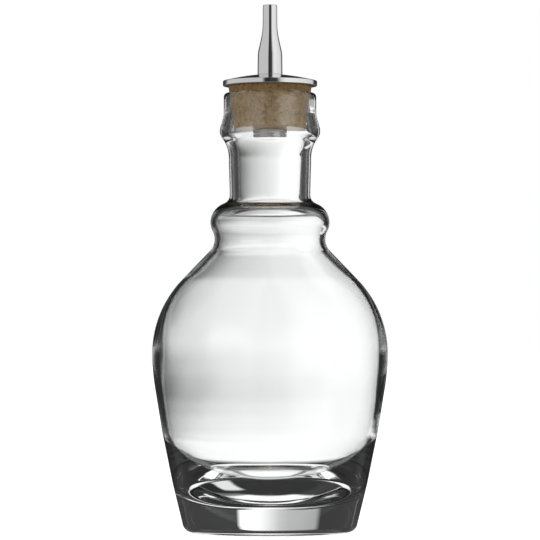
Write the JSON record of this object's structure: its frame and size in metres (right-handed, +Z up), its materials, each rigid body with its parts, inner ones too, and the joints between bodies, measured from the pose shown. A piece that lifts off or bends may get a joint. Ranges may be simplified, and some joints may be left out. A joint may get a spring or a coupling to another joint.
{
  "type": "bitters bottle",
  "caption": "Clear glass bitters bottle with a heavy foot and a flared collar, closed by a tapered cork that carries a metal dasher spout and lifts out.",
  "frame": {"origin": "centre of the foot, on the surface the bottle stands on", "axes": "+Z up along the bottle's axis, towards the spout; X and Y are any two square directions, because every piece is turned about Z"},
  "size_m": [0.0671, 0.067, 0.1501],
  "materials": {
    "clear_glass": "clear polished soda-lime glass, colourless, thick at the foot",
    "cork": "natural cork with pores and short dark streaks",
    "polished_metal": "polished chromed metal",
    "plain_steel": "drawn stainless steel tube"
  },
  "bodies": {
    "bottle": {"glass_bottle": "clear_glass"},
    "stopper": {"cork_stopper": "cork", "cap_disc": "polished_metal", "dasher_spout": "polished_metal", "stem_tube": "plain_steel", "retaining_ferrule": "polished_metal"}
  },
  "joints": [
    {"name": "stopper_pull", "type": "slide", "parent": "bottle", "child": "stopper", "axis": [0, 0, 1], "range_m": [0, 0.05]}
  ]
}
